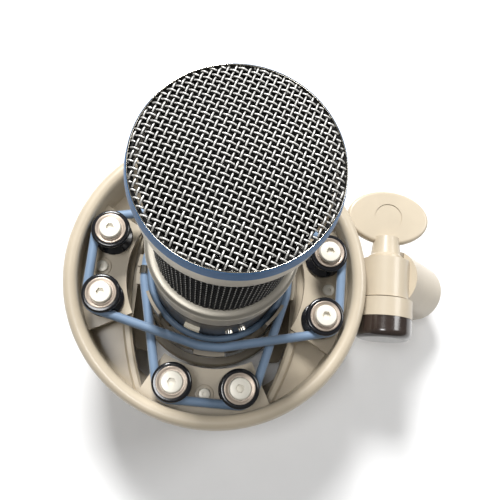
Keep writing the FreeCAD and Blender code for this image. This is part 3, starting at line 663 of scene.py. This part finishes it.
class MIC_OT_head_rings(bpy.types.Operator):
    """Turn the coloured top ring, the band under it and the shoulder ring"""
    bl_idname = "mic.head_rings"
    bl_label = "Head rings"

    def execute(self, context):
        low, high = node_span("grille_top_ring")
        outer = node_radius("grille_top_ring")
        inner = node_radius("grille_mesh_top") + 0.05 * MM
        seat = high.z - 1.1 * MM
        tip = inner + 0.4 * MM
        ring = lathe("top_ring",
                     [(inner - 0.9 * MM, low.z), (outer, low.z), (outer, low.z + 0.3 * MM),
                      (tip, high.z - 0.05 * MM), (inner + 0.2 * MM, high.z - 0.1 * MM),
                      (inner + 0.2 * MM, seat), (inner - 0.9 * MM, seat)],
                     0.14 * MM, TURNED_SEGMENTS)
        finish_piece(ring, "microphone", "ring", ("grille_top_ring",))
        # Painted shade: the seat faces round the cloth's edge take the black material for the shade
        # in that crevice.
        ring.data.materials.append(MATERIALS["blackened"])
        for face in ring.data.polygons:
            if Vector(face.center[:2]).length < inner + 0.22 * MM:
                face.material_index = 1
        edge = lathe("top_ring_edge",
                     ring_corners(inner, inner + 0.3 * MM, seat + 0.1 * MM, high.z),
                     0.1 * MM, TURNED_SEGMENTS)
        finish_piece(edge, "microphone", "bright", ("grille_top_ring",))
        low, high = node_span("grille_band")
        outer = node_radius("grille_band")
        band = lathe("grille_band_shell", ring_corners(outer - 1.0 * MM, outer, low.z, high.z),
                     0.35 * MM, TURNED_SEGMENTS)
        finish_piece(band, "microphone", "nickel", ("grille_band",))
        low, high = node_span("shoulder_ring")
        outer = node_radius("shoulder_ring")
        inner = node_radius("fine_mesh_side") - 1.4 * MM
        shoulder = lathe("shoulder_ring_turned",
                         [(inner, low.z), (outer - 0.4 * MM, low.z), (outer, low.z + 0.5 * MM),
                          (outer, high.z - 1.1 * MM), (outer - 0.9 * MM, high.z - 0.25 * MM),
                          (outer - 2.3 * MM, high.z), (inner, high.z)],
                         0.8 * MM, TURNED_SEGMENTS)
        finish_piece(shoulder, "microphone", "nickel", ("shoulder_ring",))
        return {'FINISHED'}


class MIC_OT_body(bpy.types.Operator):
    """Turn the body tube with its bottom cap"""
    bl_idname = "mic.body"
    bl_label = "Body tube and base"

    def execute(self, context):
        low, high = node_span("body_tube")
        outer = node_radius("body_tube")
        inner = outer - 1.6 * MM
        groove = 0.35 * MM
        corners = [(inner, low.z), (outer - groove, low.z), (outer, low.z + groove)]
        for height in (9.0 * MM, 85.4 * MM, 101.5 * MM):
            corners += [(outer, height), (outer - groove, height + 0.1 * MM),
                        (outer - groove, height + 0.7 * MM), (outer, height + 0.8 * MM)]
        corners += [(outer, high.z - groove), (outer - groove, high.z), (inner, high.z)]
        tube = finish_piece(lathe("body_tube_turned", corners, 0.2 * MM, TURNED_SEGMENTS),
                            "microphone", "nickel", ("body_tube",))
        # Faces below that height take the near-black second colour.
        tube.data.materials.append(MATERIALS["lower_body"])
        for face in tube.data.polygons:
            if face.center.z < DARK_LOWER_BODY_TOP:
                face.material_index = 1
        high = node_span("body_base")[1]
        hole = node_radius("xlr_insert")
        cap = lathe("body_base_turned",
                    [(hole, 0.0), (outer - 0.8 * MM, 0.0), (outer, 0.8 * MM), (outer, 3.0 * MM),
                     (inner, 3.0 * MM), (inner, high.z), (inner - 1.5 * MM, high.z),
                     (inner - 1.5 * MM, 3.0 * MM), (hole, 3.0 * MM)],
                    0.25 * MM, TURNED_SEGMENTS)
        finish_piece(cap, "microphone", "nickel", ("body_base",))
        return {'FINISHED'}


# ---- Operators: spools and screws ------------------------------------------------------
def hex_socket_button(bm, centre, z_low, head_r, head_tall, socket_r, socket_deep):
    """Button head with a six-sided socket."""
    rim = 0.25 * head_tall
    outline = [(head_r * 0.985, 0.0), (head_r, rim * 0.5), (head_r * 0.99, rim)]
    for step in range(1, 9):
        angle = math.radians(90 * step / 8)
        flat_r = head_r * 0.84
        outline.append((flat_r + (head_r * 0.99 - flat_r) * math.cos(angle),
                        rim + (head_tall - rim) * math.sin(angle)))
    outline = [(0.0, 0.0)] + outline
    segments = 48
    rings = []
    for r, z in outline[1:]:
        rings.append([bm.verts.new(on_circle(centre, r, k, segments, z_low + z))
                      for k in range(segments)])
    top_z = z_low + outline[-1][1]

    def hexagon(k, z, scale=1.0):
        angle = 2 * math.pi * k / segments
        flat = math.cos(math.pi / 6) / math.cos((angle % (math.pi / 3)) - math.pi / 6)
        return bm.verts.new(on_circle(centre, socket_r * scale * flat, k, segments, z))

    rings.append([hexagon(k, top_z, 1.06) for k in range(segments)])
    rings.append([hexagon(k, top_z - 0.08 * MM) for k in range(segments)])
    rings.append([hexagon(k, top_z - socket_deep) for k in range(segments)])
    for low, high in zip(rings, rings[1:]):
        for k in range(segments):
            nxt = (k + 1) % segments
            wall = bm.faces.new((low[k], low[nxt], high[nxt], high[k]))
            # Painted shade: the deep socket walls and its floor take the dark second material.
            wall.material_index = int(high is rings[-1])
    floor_face = bm.faces.new(rings[-1])
    floor_face.material_index = 1
    bm.faces.new(rings[0])


def spool_centres():
    """Name, centre and heights of every spool."""
    found = []
    for side in SIDES:
        for hand in HANDS:
            node = "cord_spool_%s_%s" % (side, hand)
            low, high = node_span(node)
            found.append((node, (low + high) / 2, low.z, high.z))
    return found


class MIC_OT_spools(bpy.types.Operator):
    """Turn the black waisted spools that carry the cord"""
    bl_idname = "mic.spools"
    bl_label = "Cord spools"

    def execute(self, context):
        flange = node_radius("cord_spool_east_left")
        core = 4.55 * MM
        for node, centre, low, high in spool_centres():
            corners = [(SCREW_HOLE_R, low), (flange, low), (flange, low + 1.3 * MM),
                       (core + 0.9 * MM, low + 2.2 * MM), (core, low + 3.4 * MM),
                       (core, high - 3.6 * MM), (core + 0.5 * MM, high - 2.2 * MM),
                       (flange - 0.2 * MM, high - 1.6 * MM), (flange, high - 0.6 * MM),
                       (flange - 0.7 * MM, high), (SCREW_HOLE_R, high)]
            bm = bmesh.new()
            lathe_into(bm, rounded(corners, 0.5 * MM), centre=centre, segments=72)
            finish_piece(object_from(bm, node + "_turned", 50), "cage", "black",
                         (node,))
        return {'FINISHED'}


class MIC_OT_spool_screws(bpy.types.Operator):
    """Fit the dished washers and the button screws on the spools"""
    bl_idname = "mic.spool_screws"
    bl_label = "Spool washers and screws"

    def execute(self, context):
        washer_top = node_span("spool_washers")[1].z
        head_tall = node_span("spool_screws")[1].z - washer_top + 0.2 * MM
        washer = bmesh.new()
        screws = bmesh.new()
        for _, centre, _, high in spool_centres():
            outline = rounded([(SCREW_HOLE_R, high), (6.3 * MM, high),
                               (6.3 * MM, washer_top - 0.1 * MM), (5.9 * MM, washer_top),
                               (5.0 * MM, washer_top - 0.25 * MM),
                               (SCREW_HOLE_R, washer_top - 0.25 * MM)], 0.22 * MM)
            lathe_into(washer, outline, centre=centre, segments=64)
            hex_socket_button(screws, centre, washer_top - 0.2 * MM, 4.6 * MM, head_tall,
                              1.7 * MM, 1.3 * MM)
        finish_piece(object_from(washer, "spool_washer_set", 40), "cage", "washer",
                     ("spool_washers",))
        buttons = finish_piece(object_from(screws, "spool_screw_set", 30), "cage",
                               "button", ("spool_screws",))
        buttons.data.materials.append(MATERIALS["socket"])
        return {'FINISHED'}


class MIC_OT_plate_screws(bpy.types.Operator):
    """Fit the pan-head screws that hold the spool plates"""
    bl_idname = "mic.plate_screws"
    bl_label = "Spool plate screws"

    def execute(self, context):
        low, high = node_span("plate_screws")
        reach = (high.x - low.x) / 2 - 3.1 * MM
        plate_top = node_span("spool_plate_east")[1].z
        bm = bmesh.new()
        bosses = bmesh.new()
        for quarter in range(4):
            angle = quarter * math.pi / 2
            centre = Vector((reach * math.cos(angle), reach * math.sin(angle), 0))
            hex_socket_button(bm, centre, plate_top + 0.4 * MM, 2.6 * MM,
                              high.z - plate_top - 0.4 * MM, 0.9 * MM, 0.8 * MM)
            outline = rounded(ring_corners(SCREW_HOLE_R, 3.9 * MM, plate_top - 0.2 * MM,
                                           plate_top + 0.5 * MM), 0.25 * MM)
            lathe_into(bosses, outline, centre=centre, segments=48)
        heads = finish_piece(object_from(bm, "plate_screw_set", 30), "cage", "button",
                             ("plate_screws",))
        heads.data.materials.append(MATERIALS["socket"])
        finish_piece(object_from(bosses, "plate_screw_bosses", 40), "cage",
                     "paint")
        return {'FINISHED'}


# ---- Operators: the elastic cord -------------------------------------------------------
def belt_path(settings, wrap_r, spool, reach):
    """Closed belt round four spools and two cradle lugs, as a list of arcs of points in its own
    plane.
    """
    lug = Vector((-settings.lug_half, -reach))
    to_spool = spool - lug
    lean = math.asin(wrap_r / to_spool.length)
    heading = math.atan2(to_spool.y, to_spool.x) + lean
    outer_x = spool.x - wrap_r
    run = (outer_x - lug.x) / math.cos(heading)
    outer = Vector((outer_x, lug.y + run * math.sin(heading)))
    quarter = [(lug, settings.lug_bend), (outer, wrap_r)]
    flips = ((1, 1, 1), (1, -1, -1), (-1, -1, 1), (-1, 1, -1))
    corners = []
    for flip_x, flip_y, order in flips:
        corners += [(Vector((p.x * flip_x, p.y * flip_y)), r) for p, r in quarter[::order]]
    arcs = []
    count = len(corners)
    for i, (point, radius) in enumerate(corners):
        back = (corners[i - 1][0] - point).normalized()
        ahead = (corners[(i + 1) % count][0] - point).normalized()
        half = back.angle(ahead) / 2
        setback = radius / math.tan(half)
        centre = point + (back + ahead).normalized() * (radius / math.sin(half))
        start = point + back * setback - centre
        turn = start.angle_signed(point + ahead * setback - centre)
        steps = 14
        arcs.append([centre + Matrix.Rotation(-turn * s / steps, 2) @ start
                     for s in range(steps + 1)])
    return arcs


def straight(a, b, count):
    """Points between two ends, without the first and the last."""
    return [a.lerp(b, step / count) for step in range(1, count)]


def cord_tube(name, points, z, radius, turn, sides=20):
    """Smooth tube along level points, with a UV map along and around it."""
    bm = bmesh.new()
    layer = bm.loops.layers.uv.new("Cord")
    rotate = Matrix.Rotation(turn, 3, 'Z')
    path = [rotate @ Vector((p.x, p.y, z)) for p in points]
    rings = []
    for i, centre in enumerate(path):
        along = (path[min(i + 1, len(path) - 1)] - path[max(i - 1, 0)]).normalized()
        side = along.cross(Vector((0, 0, 1)))
        rings.append([bm.verts.new(centre + side * (radius * math.cos(2 * math.pi * k / sides))
                                   + Vector((0, 0, radius * math.sin(2 * math.pi * k / sides))))
                      for k in range(sides)])
    travel = 0.0
    for i in range(len(rings) - 1):
        step = (path[i + 1] - path[i]).length
        for k in range(sides):
            nxt = (k + 1) % sides
            face = bm.faces.new((rings[i][k], rings[i][nxt], rings[i + 1][nxt], rings[i + 1][k]))
            ends = ((k, travel), (k + 1, travel), (k + 1, travel + step), (k, travel + step))
            for loop, (around, distance) in zip(face.loops, ends):
                loop[layer].uv = (around / sides, distance / radius)
        travel += step
    bm.faces.new(rings[0])
    bm.faces.new(rings[-1])
    return object_from(bm, name, 60)


class MIC_OT_cords(bpy.types.Operator):
    """String the two crossing elastic loops from the spools to the cradle"""
    bl_idname = "mic.cords"
    bl_label = "Elastic cords"

    def execute(self, context):
        settings = context.scene.mic_cord
        low, high = node_span("cord_spool_west_right")
        centre = (low + high) / 2
        spool = Vector((centre.x, -abs(centre.y)))
        for name, turn in (("front_back", 0.0), ("left_right", math.pi / 2)):
            node = "cord_loop_" + name
            low, high = node_span(node)
            size = high - low
            half_wide = max(size.x, size.y) / 2
            half_deep = min(size.x, size.y) / 2
            wrap_r = half_wide - settings.radius + spool.x
            arcs = belt_path(settings, wrap_r, spool, half_deep - settings.radius)
            self.string_loop(node, name, arcs, (low.z + high.z) / 2, settings.radius, turn)
        return {'FINISHED'}

    def string_loop(self, node, name, arcs, z, radius, turn):
        """Outer wraps ride on the cage, the middle runs on the cradle, and straight spans join them.
        """
        for half, first in (("a", 1), ("b", 5)):
            points = arcs[first] + straight(arcs[first][-1], arcs[first + 1][0], 12) + arcs[first + 1]
            piece = cord_tube("cord_%s_wrap_%s" % (name, half), points, z, radius, turn)
            finish_piece(piece, "cage", "cord", (node,))
        for half, first in (("a", 3), ("b", 7)):
            after = (first + 1) % 8
            points = arcs[first] + straight(arcs[first][-1], arcs[after][0], 8) + arcs[after]
            piece = cord_tube("cord_%s_lug_%s" % (name, half), points, z, radius, turn)
            finish_piece(piece, "microphone", "cord", (node,))
        for number, (cage_end, lug_end) in enumerate(((1, 0), (2, 3), (5, 4), (6, 7))):
            outward = cage_end < lug_end
            start = arcs[cage_end][-1 if outward else 0]
            end = arcs[lug_end][0 if outward else -1]
            points = [start] + straight(start, end, 16) + [end]
            piece = cord_tube("cord_%s_span_%d" % (name, number + 1), points, z, radius, turn)
            piece.data.materials.clear()
            piece.data.materials.append(MATERIALS["cord"])
            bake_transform(piece)
            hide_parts(node)


# ---- Operators: cradle, cage and swivel -------------------------------------------------
class MIC_OT_bumper(bpy.types.Operator):
    """Roll the elastomer ring that seats the body in the cradle"""
    bl_idname = "mic.bumper"
    bl_label = "Bumper ring"

    def execute(self, context):
        low = node_span("cradle_bumper_ring")[0]
        outer = node_radius("cradle_bumper_ring")
        thick = 1.35 * MM
        outline = []
        for step in range(16):
            angle = 2 * math.pi * step / 16
            outline.append((outer - thick + thick * math.cos(angle),
                            low.z + 1.5 * MM + 1.5 * MM * math.sin(angle)))
        bm = bmesh.new()
        lathe_into(bm, outline, segments=160)
        finish_piece(object_from(bm, "bumper_cord_ring", 80), "microphone",
                     "bumper", ("cradle_bumper_ring",))
        return {'FINISHED'}


NODE_FINISHES = {
    "paint": ("cage_ring", "swivel_bracket", "stand_adapter", "thumb_screw", "spool_plate_north",
              "spool_plate_south", "spool_plate_east", "spool_plate_west"),
    # Painted shade: these cradle and cage parts take darkened copies of the satin paint for the shade
    # inside the mount.
    "inner_paint": ("cradle_basket", "cradle_lock_ring", "cage_base_ring"),
    "wing_paint": ("cage_wing_east", "cage_wing_west"),
    "bright": ("bracket_screws", "cradle_screws", "cord_ferrules", "clamp_screws", "xlr_pins"),
    "machined": ("chassis_rods", "transformer_straps", "ribbon_clamps"),
    "blackened": ("motor_plate", "motor_frame", "head_posts"),
    "key": ("body_key",),
    "nut": ("pivot_nut",),
    "nylon": ("friction_washer",),
    "brass": ("thread_insert",),
    "plastic": ("xlr_insert",),
    "board": ("circuit_board",),
    "magnet": ("motor_magnets", "pole_pieces", "transformer"),
    "foil": ("ribbons",),
    "rubber": ("motor_isolators",),
    "insulation": ("signal_wires",),
}


class MIC_OT_node_finishes(bpy.types.Operator):
    """Give every CAD node that stays in view its procedural finish"""
    bl_idname = "mic.node_finishes"
    bl_label = "Finishes of the CAD pieces"

    def execute(self, context):
        for material, nodes in NODE_FINISHES.items():
            for node in nodes:
                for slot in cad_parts[node].material_slots:
                    slot.material = MATERIALS[material]
        return {'FINISHED'}


# ---- Operator: the stage ----------------------------------------------------------------
AMBIENT = 0.14
LIGHTS = (("key", (-0.22, 0.70, 0.80), 0.28, 16.0), ("fill", (0.70, 0.30, 0.80), 0.40, 4.0),
          ("top", (-0.30, -0.10, 1.25), 0.35, 5.2))
LIGHT_TARGET = (0, 0, 0.08)
CAMERA_PLACE_MM = (-4.61, -56.10, 318.68)
CAMERA_TURN_DEGREES = (13.89, -5.02, 5.24)
CAMERA_LENS = 46.8


class MIC_OT_stage(bpy.types.Operator):
    """Lay the pale floor, hang the soft lights and set up the camera"""
    bl_idname = "mic.stage"
    bl_label = "Stage"

    def execute(self, context):
        bm = bmesh.new()
        bmesh.ops.create_grid(bm, x_segments=4, y_segments=4, size=1.6)
        floor = object_from(bm, "floor")
        floor.data.materials.append(finish("floor_paper", (0.86, 0.86, 0.86), 0.8, 300, 0.01))
        world = bpy.data.worlds.new("studio")
        context.scene.world = world
        world.use_nodes = True
        background = world.node_tree.nodes["Background"]
        background.inputs["Color"].default_value = (1.0, 1.0, 1.0, 1.0)
        background.inputs["Strength"].default_value = AMBIENT
        context.scene.view_settings.view_transform = 'Standard'
        for name, place, size, power in LIGHTS:
            self.light(name, place, size, power)
        view = bpy.data.cameras.new("view")
        view.lens = CAMERA_LENS
        view.sensor_width = 36.0
        view.clip_start = 0.01
        camera = bpy.data.objects.new("view", view)
        camera.location = Vector(CAMERA_PLACE_MM) * MM
        camera.rotation_euler = Euler([math.radians(a) for a in CAMERA_TURN_DEGREES], 'XYZ')
        context.collection.objects.link(camera)
        context.scene.camera = camera
        return {'FINISHED'}

    def light(self, name, place, size, power):
        """Square soft light that faces the microphone."""
        lamp = bpy.data.lights.new(name, 'AREA')
        lamp.size = size
        lamp.energy = power
        lamp_object = bpy.data.objects.new(name, lamp)
        lamp_object.location = place
        aim = Vector(LIGHT_TARGET) - Vector(place)
        lamp_object.rotation_euler = aim.to_track_quat('-Z', 'Y').to_euler()
        bpy.context.collection.objects.link(lamp_object)


# ---- Add-on layout ------------------------------------------------------------------------
STEPS = (MIC_OT_stage, MIC_OT_node_finishes, MIC_OT_grille, MIC_OT_fine_cloth, MIC_OT_head_rings,
         MIC_OT_body, MIC_OT_spools, MIC_OT_spool_screws, MIC_OT_plate_screws, MIC_OT_cords,
         MIC_OT_bumper)


class MIC_PT_panel(bpy.types.Panel):
    """Sidebar panel that lists the settings and the steps"""
    bl_idname = "MIC_PT_panel"
    bl_label = "Ribbon Microphone"
    bl_space_type = 'VIEW_3D'
    bl_region_type = 'UI'
    bl_category = "Microphone"

    def draw(self, context):
        for group in (context.scene.mic_grille, context.scene.mic_cord, context.scene.mic_finish):
            box = self.layout.box()
            for name in group.bl_rna.properties.keys():
                if name not in {"rna_type", "name"}:
                    box.prop(group, name)
        for step in STEPS:
            self.layout.operator(step.bl_idname)


GROUPS = {"mic_grille": GrilleSettings, "mic_cord": CordSettings, "mic_finish": FinishSettings}
CLASSES = tuple(GROUPS.values()) + STEPS + (MIC_PT_panel,)


def register():
    """Register every class and hang the settings on the scene."""
    for item in CLASSES:
        bpy.utils.register_class(item)
    for name, group in GROUPS.items():
        setattr(bpy.types.Scene, name, bpy.props.PointerProperty(type=group))


def unregister():
    """Take the settings and the classes away again."""
    for name in GROUPS:
        delattr(bpy.types.Scene, name)
    for item in reversed(CLASSES):
        bpy.utils.unregister_class(item)


def main():
    """Build every piece in order."""
    register()
    MATERIALS.update(make_materials(bpy.context.scene.mic_finish))
    for step in STEPS:
        group, name = step.bl_idname.split(".")
        getattr(getattr(bpy.ops, group), name)()


if __name__ == "__main__":
    main()
